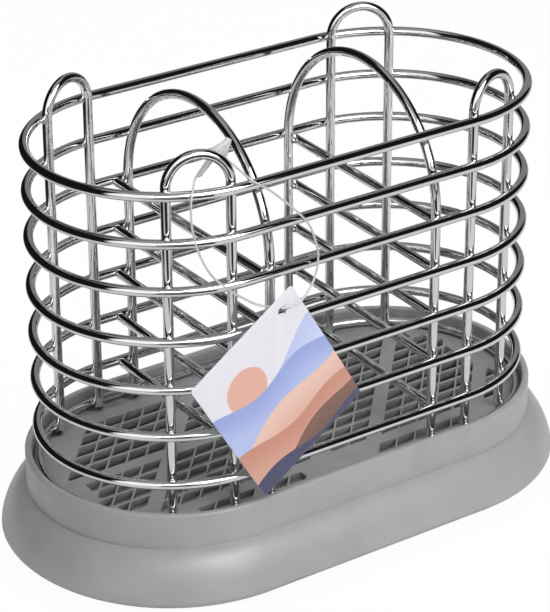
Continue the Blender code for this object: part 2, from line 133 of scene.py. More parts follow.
PLAN = Plan()


# ---- Bench work

def release() -> None:
    """Leave edit mode and deselect everything."""
    if bpy.context.object is not None and bpy.context.object.mode != "OBJECT":
        bpy.ops.object.mode_set(mode="OBJECT")
    bpy.ops.object.select_all(action="DESELECT")


def take(piece: Piece) -> None:
    """Select one piece alone and make it the active one."""
    release()
    piece.select_set(True)
    bpy.context.view_layer.objects.active = piece


def settle(piece: Piece) -> None:
    """Move a piece's place into its mesh, so that its object sits at the origin."""
    take(piece)
    bpy.ops.object.transform_apply(location=True, rotation=True, scale=True)


def edit_all() -> None:
    """Enter edit mode with all of the active piece selected."""
    bpy.ops.object.mode_set(mode="EDIT")
    bpy.ops.mesh.select_all(action="SELECT")


def close_up(fill: bool) -> None:
    """Merge doubles and turn the faces outwards, and leave edit mode.

    Args:
        fill: whether open ends are filled.
    """
    bpy.ops.mesh.select_all(action="SELECT")
    bpy.ops.mesh.remove_doubles(threshold=MERGE)
    if fill:
        bpy.ops.mesh.fill_holes(sides=0)
    bpy.ops.mesh.normals_make_consistent(inside=False)
    bpy.ops.object.mode_set(mode="OBJECT")


def round_edges(piece: Piece, width: float, segments: int, angle: float) -> None:
    """Bevel a piece's sharp edges.

    Args:
        piece: the piece to work on.
        width: width of the bevel.
        segments: its steps.
        angle: edges under this angle in degrees are left.
    """
    take(piece)
    modifier = piece.modifiers.new("bevel", "BEVEL")
    modifier.width = width
    modifier.segments = segments
    modifier.limit_method = "ANGLE"
    modifier.angle_limit = math.radians(angle)
    bpy.ops.object.modifier_apply(modifier=modifier.name)


def merged_copy(node: Piece, name: str) -> Piece:
    """Copy a CAD node's mesh, with its doubles merged and its flat faces made whole.

    Args:
        node: the CAD node.
        name: the copy's name.

    Returns:
        The copy, linked to the scene.
    """
    piece = bpy.data.objects.new(name, node.data.copy())
    bpy.context.scene.collection.objects.link(piece)
    take(piece)
    edit_all()
    bpy.ops.mesh.remove_doubles(threshold=MERGE)
    bpy.ops.mesh.dissolve_limited(angle_limit=math.radians(1.0))
    release()
    return piece


def shade(piece: Piece, angle: float) -> None:
    """Shade smooth, with edges over an angle in degrees kept sharp."""
    take(piece)
    bpy.ops.object.shade_smooth_by_angle(angle=math.radians(angle))


def coat(piece: Piece, finish: Material) -> None:
    """Give a piece one material, all over."""
    piece.data.materials.clear()
    piece.data.materials.append(finish)


def hang(piece: Piece, finish: Material, body: str, nodes: Sequence[str]) -> None:
    """Give a finished piece its material and body, and let it stand for CAD nodes.

    Args:
        piece: the finished piece.
        finish: its material.
        body: name of the body it rides on.
        nodes: CAD nodes that it stands for.
    """
    coat(piece, finish)
    settle(piece)
    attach(piece, body)
    if nodes:
        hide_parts(*nodes)
    LOG.info("%s: %d faces on %s", piece.name, len(piece.data.polygons), body)


def draw_line(name: str, points: Sequence[Vector]) -> Piece:
    """Draw a line of vertices, and stay in edit mode with all of it selected.

    Args:
        name: the piece's name.
        points: the line's points.

    Returns:
        The piece, to be spun and pushed into a shell.
    """
    release()
    bpy.ops.mesh.primitive_plane_add(size=SEED, location=points[0])
    piece = bpy.context.object
    piece.name = name
    settle(piece)
    edit_all()
    bpy.ops.mesh.merge(type="CENTER")
    for last, point in zip(points, points[1:]):
        bpy.ops.mesh.extrude_vertices_move(TRANSFORM_OT_translate={"value": tuple(point - last)})
    bpy.ops.mesh.select_all(action="SELECT")
    return piece


def push(move: Vector) -> None:
    """Extrude what is selected straight along a move."""
    bpy.ops.mesh.extrude_region_move(TRANSFORM_OT_translate={"value": tuple(move)})


def turn(centre: Vector, axis: Vector, angle: float, steps: int) -> None:
    """Spin what is selected round an axis.

    Args:
        centre: a point of the axis.
        axis: its direction.
        angle: radians, by the right-hand rule, which is the other way round from the operator's own.
        steps: how many steps the spin takes.
    """
    bpy.ops.mesh.spin(steps=steps, angle=-angle, center=tuple(centre), axis=tuple(axis))


def round_stadium(height: float, steps: int) -> None:
    """Take what is selected once round the stadium, from the front's right end.

    Args:
        height: height of the half turns' centres.
        steps: steps of each half turn.
    """
    reach = PLAN.half_straight
    for way in (1, -1):
        turn(Vector((way * reach, 0, height)), UP, math.pi, steps)
        push(Vector((-2 * way * reach, 0, 0)))


# ---- Shader work

class Board:
    """A node tree of a material, a group or the world, with short ways to place and wire nodes."""

    def __init__(self, tree: bpy.types.NodeTree) -> None:
        """Keep the tree that is worked on."""
        self.tree = tree

    def add(self, kind: str, inputs: dict[object, object] | None = None, **settings: object) -> Node:
        """Place a node, set its properties and feed its inputs."""
        node = self.tree.nodes.new(kind)
        for name, value in settings.items():
            setattr(node, name, value)
        self.feed(node, inputs or {})
        return node

    def wire(self, source: Socket, target: Socket) -> None:
        """Link two sockets."""
        self.tree.links.new(source, target)

    def feed(self, node: Node, inputs: dict[object, object]) -> None:
        """Give a node's inputs, by name or number, a value, a colour or another node's output."""
        for label, value in inputs.items():
            socket = node.inputs[label]
            if isinstance(value, Socket):
                self.wire(value, socket)
            else:
                socket.default_value = (*value, 1.0) if socket.type == "RGBA" else value

    def math(self, operation: str, *values: object) -> Socket:
        """Result of a Math node on numbers or sockets, in order."""
        return self.add("ShaderNodeMath", dict(enumerate(values)), operation=operation).outputs[0]

    def mix(self, factor: object, first: object, second: object) -> Socket:
        """Mix two colours and return the result's socket."""
        return self.add("ShaderNodeMix", {0: factor, 6: first, 7: second}, data_type="RGBA").outputs[2]

    def span(self, value: object, low: float, high: float, to_low: float = 0.0, to_high: float = 1.0,
             smooth: bool = False) -> Socket:
        """Map a value from one range to another, straight or in a smooth step."""
        inputs = dict(enumerate((value, low, high, to_low, to_high)))
        way = "SMOOTHSTEP" if smooth else "LINEAR"
        return self.add("ShaderNodeMapRange", inputs, interpolation_type=way).outputs[0]

    def noise(self, vector: object, scale: object, detail: float, rough: float,
              distortion: float = 0.0) -> Socket:
        """Noise value over a vector."""
        node = self.add("ShaderNodeTexNoise", {"Vector": vector, "Scale": scale, "Detail": detail})
        self.feed(node, {"Roughness": rough, "Distortion": distortion})
        return node.outputs["Fac"]

    def parts(self, vector: Socket) -> tuple[Socket, ...]:
        """The X, Y and Z of a vector."""
        return tuple(self.add("ShaderNodeSeparateXYZ", {0: vector}).outputs)

    def bump(self, shader: Node, height: Socket, strength: float, distance: float) -> None:
        """Raise a shader's surface by a height from 0 to 1, whose full size is a distance in metres."""
        node = self.add("ShaderNodeBump", {"Strength": strength, "Distance": distance, "Height": height})
        self.feed(shader, {"Normal": node.outputs["Normal"]})


def new_group(name: str, numbers: dict[str, float],
              results: Sequence[str]) -> tuple[Board, dict[str, Socket], dict[str, Socket]]:
    """Start a shader group that takes a vector and numbers, and gives numbers.

    Args:
        name: the group's name.
        numbers: the numbers that it takes, with their defaults.
        results: the names of what it gives.

    Returns:
        A board on the group, its inputs by name and its outputs by name.
    """
    tree = bpy.data.node_groups.new(name, "ShaderNodeTree")
    tree.interface.new_socket(name="Vector", in_out="INPUT", socket_type="NodeSocketVector")
    for label, default in numbers.items():
        socket = tree.interface.new_socket(name=label, in_out="INPUT", socket_type="NodeSocketFloat")
        socket.default_value = default
    for label in results:
        tree.interface.new_socket(name=label, in_out="OUTPUT", socket_type="NodeSocketFloat")
    board = Board(tree)
    takes = {socket.name: socket for socket in board.add("NodeGroupInput").outputs}
    gives = {socket.name: socket for socket in board.add("NodeGroupOutput").inputs}
    return board, takes, gives


class SurfaceGroups:
    """Shader groups that more than one finish uses, each built once."""

    def __init__(self) -> None:
        """Build the groups."""
        self.grain = self._grain()
        self.handling = self._handling()

    @staticmethod
    def _grain() -> bpy.types.NodeTree:
        """Spark-eroded grain of a mould: its height, pale flecks and the slow clouds of the melt's flow."""
        board, takes, gives = new_group("mould_grain", {"Grain": 2600.0, "Flow": 45.0},
                                        ("Height", "Fleck", "Cloud"))
        fine = board.noise(takes["Vector"], takes["Grain"], detail=3.0, rough=0.6)
        cloud = board.noise(takes["Vector"], takes["Flow"], detail=4.0, rough=0.55, distortion=0.6)
        board.wire(board.span(fine, 0.3, 0.7), gives["Height"])
        board.wire(board.span(fine, 0.60, 0.74, smooth=True), gives["Fleck"])
        board.wire(board.span(cloud, 0.3, 0.7, smooth=True), gives["Cloud"])
        return board.tree

    @staticmethod
    def _handling() -> bpy.types.NodeTree:
        """Marks of handling: a soft haze and thin rubbed streaks, as masks."""
        board, takes, gives = new_group("handling_marks", {"Scale": 60.0}, ("Haze", "Rub"))
        haze = board.noise(takes["Vector"], takes["Scale"], detail=3.0, rough=0.6, distortion=0.4)
        stretch = board.add("ShaderNodeMapping", {"Vector": takes["Vector"], "Scale": (0.25, 1.0, 3.5)})
        finer = board.math("MULTIPLY", takes["Scale"], 6.0)
        rub = board.noise(stretch.outputs["Vector"], finer, detail=5.0, rough=0.7)
        board.wire(board.span(haze, 0.35, 0.75, smooth=True), gives["Haze"])
        board.wire(board.span(rub, 0.58, 0.72, smooth=True), gives["Rub"])
        return board.tree


@dataclass(frozen=True)
class Finish:
    """What every finish has: a name, a colour and how rough it is."""

    name: str
    colour: Colour
    roughness: float

    def build(self, groups: SurfaceGroups) -> Material:
        """Make the material.

        Args:
            groups: the shared shader groups.

        Returns:
            The finished material.
        """
        material = bpy.data.materials.new(self.name)
        material.use_nodes = True
        board = Board(material.node_tree)
        shader = material.node_tree.nodes["Principled BSDF"]
        board.feed(shader, {"Base Color": self.colour, "Roughness": self.roughness})
        self.paint(board, shader, board.add("ShaderNodeTexCoord").outputs["Object"], groups)
        return material

    def paint(self, board: Board, shader: Node, place: Socket, groups: SurfaceGroups) -> None:
        """Wire the finish's own nodes.

        Args:
            board: board on the material's tree.
            shader: its shader.
            place: the piece's own coordinates.
            groups: the shared shader groups.
        """
        raise NotImplementedError

    def shade_of(self, factor: float) -> Colour:
        """The finish's colour, lighter or darker by a factor."""
        return tuple(min(1.0, part * factor) for part in self.colour)

    @staticmethod
    def placed(board: Board, group: bpy.types.NodeTree, place: Socket, **values: float) -> dict[str, Socket]:
        """Place a shared group with its own values, and return what it gives by name."""
        node = board.add("ShaderNodeGroup", {"Vector": place, **values}, node_tree=group)
        return {socket.name: socket for socket in node.outputs}


@dataclass(frozen=True)
class BrightChrome(Finish):
    """Bright chrome plate over drawn steel wire."""

    worn_roughness: float = 0.075
    worn_tone: float = 0.93
    rub_share: float = 0.35
    haze_share: float = 0.65
    marks_scale: float = 70.0
    ripple: float = 0.000004
    ripple_scale: float = 420.0
    ripple_strength: float = 0.35

    def paint(self, board: Board, shader: Node, place: Socket, groups: SurfaceGroups) -> None:
        """Wire the plate: haze and rubbed streaks, and the drawn wire's faint ripple."""
        marks = self.placed(board, groups.handling, place, Scale=self.marks_scale)
        haze = board.math("MULTIPLY", marks["Haze"], self.haze_share)
        wear = board.math("MULTIPLY_ADD", marks["Rub"], self.rub_share, haze)
        board.feed(shader, {
            "Metallic": 1.0, "Base Color": board.mix(wear, self.colour, self.shade_of(self.worn_tone)),
            "Roughness": board.span(wear, 0.0, 1.0, self.roughness, self.worn_roughness)})
        ripple = board.noise(place, self.ripple_scale, detail=2.0, rough=0.45)
        board.bump(shader, ripple, self.ripple_strength, self.ripple)


@dataclass(frozen=True)
class MouldedPlastic(Finish):
    """Grey polypropylene with a fine mould grain."""

    specular: float = 0.4
    grain: float = 2400.0
    grain_depth: float = 0.00003
    grain_strength: float = 0.5
    flow: float = 40.0
    cloud_tones: tuple[float, float] = (0.95, 1.07)
    cloud_roughness: float = 0.04
    fleck_tone: float = 1.25
    fleck_share: float = 0.20
    rub_tone: float = 1.35
    rub_share: float = 0.10
    haze_polish: float = 0.05
    marks_scale: float = 55.0

    def paint(self, board: Board, shader: Node, place: Socket, groups: SurfaceGroups) -> None:
        """Wire the moulding: clouds, pale flecks, rubbed streaks and the grain's height."""
        grain = self.placed(board, groups.grain, place, Grain=self.grain, Flow=self.flow)
        marks = self.placed(board, groups.handling, place, Scale=self.marks_scale)
        tone = board.mix(grain["Cloud"], *(self.shade_of(factor) for factor in self.cloud_tones))
        flecks = board.math("MULTIPLY", grain["Fleck"], self.fleck_share)
        tone = board.mix(flecks, tone, self.shade_of(self.fleck_tone))
        rubbed = board.math("MULTIPLY", marks["Rub"], self.rub_share)
        rough = board.span(grain["Cloud"], 0.0, 1.0,
                           self.roughness + self.cloud_roughness, self.roughness - self.cloud_roughness)
        board.feed(shader, {
            "Base Color": board.mix(rubbed, tone, self.shade_of(self.rub_tone)),
            "Roughness": board.math("MULTIPLY_ADD", marks["Haze"], -self.haze_polish, rough),
            "Specular IOR Level": self.specular})
        board.bump(shader, grain["Height"], self.grain_strength, self.grain_depth)


@dataclass(frozen=True)
class Hill:
    """One rolling hill of the card's print, which covers all that is under its edge."""

    height: float
    slope: float
    swell: float
    length: float
    start: float
    colour: Colour
    lower_colour: Colour
    fade: float = 0.016
    edge: float = 0.00008

    def lay(self, board: Board, under: Socket, across: Socket, up: Socket) -> Socket:
        """Print the hill over what is there.

        Args:
            board: the card material's board.
            under: the colour so far.
            across: place along the card's width, from the hole.
            up: place along its height, from the hole.

        Returns:
            The colour with the hill.
        """
        wave = board.math("SINE", board.math("MULTIPLY_ADD", across, 1 / self.length, self.start))
        slope = board.math("MULTIPLY_ADD", across, self.slope, self.height)
        depth = board.math("SUBTRACT", board.math("MULTIPLY_ADD", wave, self.swell, slope), up)
        tone = board.mix(board.span(depth, 0.0, self.fade, smooth=True), self.colour, self.lower_colour)
        return board.mix(board.span(depth, -self.edge, self.edge), under, tone)


@dataclass(frozen=True)
class PrintedCard(Finish):
    """Coated card with a generic print of a sun over rolling hills, in soft colours."""

    hole: Vector = field(default_factory=lambda: Vector((-0.0391, -0.0556, 0.1125)))
    turn: float = math.radians(31.4)
    yaw: float = math.radians(4.0)
    face_from: float = 0.00012
    face_to: float = 0.00018
    sun: tuple[float, float] = (-0.027, -0.014)
    sun_radius: float = 0.0088
    sun_edge: float = 0.0003
    rose: Colour = (0.78, 0.42, 0.33)
    fibre_scale: float = 2200.0
    fibre_depth: float = 0.00002
    fibre_strength: float = 0.3
    hazy_roughness: float = 0.42
    marks_scale: float = 90.0
    hills: tuple[Hill, ...] = (
        Hill(-0.0135, 0.20, 0.0030, 0.0085, 0.6, (0.50, 0.57, 0.86), (0.62, 0.67, 0.90)),
        Hill(-0.0215, -0.16, 0.0026, 0.0070, 2.1, (0.30, 0.38, 0.74), (0.47, 0.54, 0.86)),
        Hill(-0.0300, 0.12, 0.0028, 0.0090, 4.0, (0.83, 0.56, 0.46), (0.76, 0.40, 0.30)),
        Hill(-0.0420, -0.14, 0.0022, 0.0075, 1.2, (0.60, 0.25, 0.17), (0.70, 0.36, 0.27)),
        Hill(-0.0475, 0.16, 0.0024, 0.0080, 3.1, (0.20, 0.085, 0.055), (0.11, 0.045, 0.035)),
        Hill(-0.0545, -0.10, 0.0018, 0.0065, 0.4, (0.035, 0.035, 0.11), (0.05, 0.05, 0.15)),
    )

    def paint(self, board: Board, shader: Node, place: Socket, groups: SurfaceGroups) -> None:
        """Print the card's face, and leave its back and its cut edges plain."""
        stand = Matrix.Rotation(self.yaw, 4, "Z") @ Matrix.Rotation(math.pi / 2, 4, "X")
        turned = (stand @ Matrix.Rotation(self.turn, 4, "Z")).to_euler()
        flat = board.add("ShaderNodeMapping", {"Vector": place}, vector_type="TEXTURE")
        board.feed(flat, {"Location": self.hole, "Rotation": turned})
        across, up, depth = board.parts(flat.outputs["Vector"])
        squares = [self.square(board, value, middle) for value, middle in zip((across, up), self.sun)]
        off = board.math("SQRT", board.math("ADD", *squares))
        sun = board.span(off, self.sun_radius, self.sun_radius + self.sun_edge, 1.0, 0.0)
        colour = board.mix(sun, self.colour, self.rose)
        for hill in self.hills:
            colour = hill.lay(board, colour, across, up)
        colour = board.mix(board.span(depth, self.face_from, self.face_to), self.colour, colour)
        fibre = board.noise(flat.outputs["Vector"], self.fibre_scale, detail=4.0, rough=0.7)
        marks = self.placed(board, groups.handling, place, Scale=self.marks_scale)
        board.feed(shader, {
            "Base Color": board.mix(board.span(fibre, 0.35, 0.65, 0.0, 0.06), colour, (1.0, 1.0, 1.0)),
            "Roughness": board.span(marks["Haze"], 0.0, 1.0, self.roughness, self.hazy_roughness)})
        board.bump(shader, fibre, self.fibre_strength, self.fibre_depth)

    @staticmethod
    def square(board: Board, value: Socket, middle: float) -> Socket:
        """Square of how far a value is from a middle."""
        off = board.math("SUBTRACT", value, middle)
        return board.math("MULTIPLY", off, off)


@dataclass(frozen=True)
class ClearNylon(Finish):
    """Milky nylon of the filament and its lock."""

    clear: float = 0.45
    refraction: float = 1.5
    milky_tone: float = 1.12
    rub_roughness: float = 0.15
    marks_scale: float = 200.0

    def paint(self, board: Board, shader: Node, place: Socket, groups: SurfaceGroups) -> None:
        """Wire the nylon: part of the light goes through, and haze makes it milkier."""
        marks = self.placed(board, groups.handling, place, Scale=self.marks_scale)
        board.feed(shader, {
            "Transmission Weight": self.clear, "IOR": self.refraction,
            "Base Color": board.mix(marks["Haze"], self.colour, self.shade_of(self.milky_tone)),
            "Roughness": board.math("MULTIPLY_ADD", marks["Rub"], self.rub_roughness, self.roughness)})


# ---- Wire basket

class BentWire:
    """A round wire: a section circle that is pushed straight and spun round bends."""

    def __init__(self, name: str, start: Vector, along: Vector, sides: int = 24) -> None:
        """Put the section circle down.

        Args:
            name: the piece's name.
            start: where the wire starts.
            along: the way it runs there.
            sides: vertices of the section.
        """
        release()
        facing = Vector(along).to_track_quat("Z", "Y").to_euler()
        bpy.ops.mesh.primitive_circle_add(vertices=sides, radius=PLAN.radius, fill_type="NOTHING",
                                          location=start, rotation=facing)
        self.piece = bpy.context.object
        self.piece.name = name
        settle(self.piece)
        edit_all()

    def done(self, cut: float = 0.0) -> Piece:
        """Close the wire and leave edit mode.

        Args:
            cut: width of the bevel on its cut ends, or 0 for a closed ring.

        Returns:
            The finished piece.
        """
        close_up(fill=cut > 0.0)
        if cut:
            round_edges(self.piece, cut, 3, 60.0)
        shade(self.piece, 50.0)
        return self.piece


@dataclass
class WeldNeck:
    """The small fillet of metal where two crossing wires are welded."""

    waist: float = 0.00112
    long_reach: float = 0.00178
    short_reach: float = 0.00128
    flare: float = 2.2
    sink: float = 0.00006
    sides: int = 20
    loops: int = 6

    def build(self) -> Piece:
        """Model one neck at the origin, on Z between a wire along X above and a wire along Y below.

        Returns:
            The neck, to be copied.
        """
        release()
        bpy.ops.mesh.primitive_circle_add(vertices=self.sides, radius=self.waist, fill_type="NOTHING")
        piece = bpy.context.object
        piece.name = "weld_neck"
        edit_all()
        step = self.waist / self.loops
        for _ in range(self.loops):
            push(Vector((0, 0, step)))
        bpy.ops.object.mode_set(mode="OBJECT")
        for vertex in piece.data.vertices:
            share = 2 * round(vertex.co.z / step) / self.loops - 1
            vertex.co = self.place(share, math.atan2(vertex.co.y, vertex.co.x))
        edit_all()
        close_up(fill=False)
        shade(piece, 80.0)
        return piece

    def place(self, share: float, angle: float) -> Vector:
        """Point of the neck's surface.

        Args:
            share: from -1 on the lower wire to 1 on the upper one.
            angle: direction round the neck.

        Returns:
            The point.
        """
        flare = abs(share) ** self.flare
        reach_x = self.long_reach if share > 0 else self.short_reach
        reach_y = self.short_reach if share > 0 else self.long_reach
        x = math.cos(angle) * (self.waist + (reach_x - self.waist) * flare)
        y = math.sin(angle) * (self.waist + (reach_y - self.waist) * flare)
        across = y if share > 0 else x
        fall = PLAN.radius - math.sqrt(PLAN.radius**2 - across**2)
        height = PLAN.weld_gap / 2 + fall + self.sink
        return Vector((x, y, math.copysign(height * abs(share), share)))


@dataclass
class WireBasket:
    """Eight rings, four hairpins, two arches and ten cross wires, welded together."""

    finish: Material
    hairpin_top: float = 0.1731
    hairpin_reach: float = 0.0108
    arch_top: float = 0.1724
    left_drop: float = 0.0004
    right_drop: float = 0.0022
    right_lean: float = 0.0027
    cut: float = 0.0003
    hairpins: dict[str, tuple[float, Side]] = field(default_factory=lambda: {
        "back_left": (-0.651, Side.BACK), "front_left": (-0.644, Side.FRONT),
        "back_right": (0.661, Side.BACK), "front_right": (0.624, Side.FRONT)})
    arches: dict[str, float] = field(default_factory=lambda: {"left": -0.378, "right": 0.354})
    cross_rings: tuple[int, ...] = (2, 3, 4, 5, 6)
    ring_steps: int = 44
    hairpin_steps: int = 28
    arch_steps: int = 44
    welds: list[Matrix] = field(default_factory=list)

    @property
    def step(self) -> float:
        """Distance between the centre lines of two welded wires."""
        return PLAN.wire + PLAN.weld_gap

    def build(self) -> None:
        """Build every wire and weld."""
        for number, height in enumerate(PLAN.ring_heights, start=1):
            self.build_ring(number, height)
        for name, (share, side) in self.hairpins.items():
            self.build_hairpin(name, share * PLAN.half_length, side)
        for name, share in self.arches.items():
            self.build_arch(name, share * PLAN.half_length)
        self.build_welds()

    def dress(self, piece: Piece, node: str) -> None:
        """Give a wire its plate and let it ride on the basket in its CAD node's place."""
        hang(piece, self.finish, "basket", [node])

    def build_ring(self, number: int, height: float) -> None:
        """One closed ring: two straight runs and two half-circle bends."""
        start = Vector((PLAN.half_straight, -PLAN.ring_radius, height))
        wire = BentWire(f"wire_ring_{number}", start, Vector((1, 0, 0)))
        round_stadium(height, self.ring_steps)
        self.dress(wire.done(), f"ring_{number}")

    def build_upright(self, name: str, node: str, legs: Sequence[Vector], top: float, steps: int) -> None:
        """A wire up one leg, over in a half circle and down the other leg, welded inside the rings.

        Args:
            name: the piece's name.
            node: the CAD node that it stands for.
            legs: plan places of the two legs.
            top: height of the centre line at the top.
            steps: steps of the half circle.
        """
        half = (legs[1] - legs[0]) / 2
        spring = top - half.length
        wire = BentWire(name, legs[0] + UP * PLAN.low_ring, UP)
        push(UP * (spring - PLAN.low_ring))
        turn((legs[0] + legs[1]) / 2 + UP * spring, UP.cross(half).normalized(), math.pi, steps)
        push(UP * (PLAN.low_ring - spring))
        for leg in legs:
            out = PLAN.outward(leg)
            for height in PLAN.ring_heights:
                if height < spring:
                    self.add_weld(leg + out * (self.step / 2) + UP * height, out, UP)
        self.dress(wire.done(self.cut), node)

    def add_weld(self, place: Vector, normal: Vector, lower_wire: Vector) -> None:
        """Note a weld.

        Args:
            place: middle of the weld.
            normal: the way from the lower wire to the upper one.
            lower_wire: the way that the lower wire runs.
        """
        upper_wire = lower_wire.cross(normal).normalized()
        turned = Matrix((upper_wire, lower_wire, normal)).transposed().to_4x4()
        self.welds.append(Matrix.Translation(place) @ turned)

    def build_hairpin(self, name: str, middle: float, side: Side) -> None:
        """One corner upright that is bent over at its top."""
        legs = [PLAN.spot(middle + way * self.hairpin_reach, side, PLAN.leg_radius) for way in (-1, 1)]
        node = f"hairpin_{name}"
        self.build_upright(f"wire_{node}", node, legs, self.hairpin_top, self.hairpin_steps)

    def build_arch(self, name: str, x: float) -> None:
        """One divider: the arch, and the cross wires outside it."""
        legs = [PLAN.spot(x, side, PLAN.leg_radius) for side in Side]
        self.build_upright(f"wire_arch_{name}", f"divider_arch_{name}", legs, self.arch_top, self.arch_steps)
        for count, ring in enumerate(self.cross_rings, start=1):
            front, back = self.cross_ends(name, x, PLAN.ring_heights[ring])
            wire = BentWire(f"wire_cross_{name}_{count}", front, back - front)
            push(back - front)
            self.dress(wire.done(self.cut), f"cross_wire_{name}_{count}")
            for leg in legs if name == "left" else legs[1:]:
                way = math.copysign(1.0, x)
                place = Vector((x + way * self.step / 2, leg.y, front.z))
                self.add_weld(place, Vector((way, 0, 0)), UP)

    def cross_ends(self, name: str, x: float, ring_at: float) -> tuple[Vector, Vector]:
        """Front and back end of a cross wire.

        The left ones lie straight between the ring's inner sides. The right ones lean, and meet the inner
        side of the arch's front leg.

        Args:
            name: left or right.
            x: the arch's place along the drainer.
            ring_at: height of the ring at the wire's level.

        Returns:
            The middles of the two cut ends.
        """
        beside = x + math.copysign(self.step, x)
        reach = PLAN.ring_radius - PLAN.radius - PLAN.weld_gap
        if name == "left":
            height = ring_at - self.left_drop
            return Vector((beside, -reach, height)), Vector((beside, reach, height))
        height = ring_at - self.right_drop
        leg_reach = PLAN.leg_radius - PLAN.radius - PLAN.weld_gap
        front = Vector((beside - self.right_lean, -leg_reach, height))
        return front, Vector((beside + PLAN.weld_gap, reach, height))

    def build_welds(self) -> None:
        """Copy the neck to every weld and join the copies to one piece."""
        neck = WeldNeck().build()
        copies = []
        for place in self.welds:
            copy = bpy.data.objects.new("weld_copy", neck.data.copy())
            copy.data.transform(place)
            bpy.context.scene.collection.objects.link(copy)
            copies.append(copy)
        take(neck)
        bpy.ops.object.delete()
        take(copies[0])
        for copy in copies:
            copy.select_set(True)
        bpy.ops.object.join()
        piece = bpy.context.object
        piece.name = "weld_fillets"
        hang(piece, self.finish, "basket", [])


# ---- Drip tray and grate

@dataclass
class DripTray:
    """The moulded tray: rim, ledge, basin and bulging skirt."""

    finish: Material
    rim_height: float = 0.0393
    rim_wall: float = 0.0026
    rim_clearance: float = 0.0007
    rim_fillet: float = 0.0009
    crease_height: float = 0.0253
    crease_depth: float = 0.00025
    crease_cut: float = 0.00015
    bulge: float = 0.0100
    wide_height: float = 0.0085
    foot_inset: float = 0.0180
    floor: float = 0.0024
    ledge_width: float = 0.0022
    ledge_height: float = 0.0295
    ledge_thickness: float = 0.0018
    fullness: float = 1.5
    skirt_steps: int = 14
    turn_steps: int = 48

    @property
    def inner(self) -> float:
        """End radius of the rim's inner wall."""
        return PLAN.ring_radius + PLAN.radius + self.rim_clearance

    @property
    def outer(self) -> float:
        """End radius of the rim's outer wall."""
        return self.inner + self.rim_wall

    def skirt(self, top: float, foot: float) -> list[tuple[float, float]]:
        """Half section of the skirt from the crease to the foot.

        Args:
            top: radius at the crease.
            foot: height of the lower end.

        Returns:
            Points as radius and height.
        """
        points = []
        power = 1 / self.fullness
        for index in range(self.skirt_steps + 1):
            share = math.cos(index / self.skirt_steps * math.pi / 2)
            swell = self.bulge * (1 - share**self.fullness) ** power
            points.append((top + swell, self.wide_height + (self.crease_height - self.wide_height) * share))
        for index in range(1, self.skirt_steps + 1):
            share = math.sin(index / self.skirt_steps * math.pi / 2)
            tuck = self.foot_inset * (1 - (1 - share**self.fullness) ** power)
            points.append((top + self.bulge - tuck, self.wide_height - (self.wide_height - foot) * share))
        return points

    def section(self) -> list[tuple[float, float]]:
        """The whole half section, from the basin's floor over the rim to the underside."""
        points = self.skirt(self.inner, self.floor)[::-1]
        ledge = self.inner - self.ledge_width
        under = self.ledge_height - self.ledge_thickness
        points += [(self.inner, under), (ledge, under)]
        points += [(ledge, self.ledge_height), (self.inner, self.ledge_height)]
        points += self.quarter(self.inner + self.rim_fillet, math.pi)
        points += self.quarter(self.outer - self.rim_fillet, math.pi / 2)
        points.append((self.outer, self.crease_height + 2 * self.crease_depth))
        points.append((self.outer - self.crease_cut, self.crease_height + self.crease_depth))
        points += self.skirt(self.outer, 0.0)
        return points

    def quarter(self, middle: float, start: float, steps: int = 4) -> list[tuple[float, float]]:
        """Quarter circle of the rim's fillet, clockwise from a start angle."""
        height = self.rim_height - self.rim_fillet
        angles = [start - math.pi / 2 * index / steps for index in range(steps + 1)]
        return [(middle + self.rim_fillet * math.cos(angle), height + self.rim_fillet * math.sin(angle))
                for angle in angles]

    def build(self) -> None:
        """Draw the section, take it round the stadium and close the floor and the underside."""
        places = [Vector((PLAN.half_straight, -radius, height)) for radius, height in self.section()]
        piece = draw_line("tray_shell", places)
        round_stadium(0.0, self.turn_steps)
        close_up(fill=True)
        shade(piece, 28.0)
        hang(piece, self.finish, "tray", ["base_tray"])


@dataclass
class Grate:
    """The lift-out floor, with softened edges round its openings."""

    finish: Material
    soften: float = 0.00022

    def build(self, node: Piece) -> None:
        """Bevel the edges of a copy of the CAD grate.

        Args:
            node: the CAD grate.
        """
        piece = merged_copy(node, "grate_floor")
        round_edges(piece, self.soften, 2, 50.0)
        shade(piece, 40.0)
        hang(piece, self.finish, "grate", ["grate"])


# ---- Hang tag

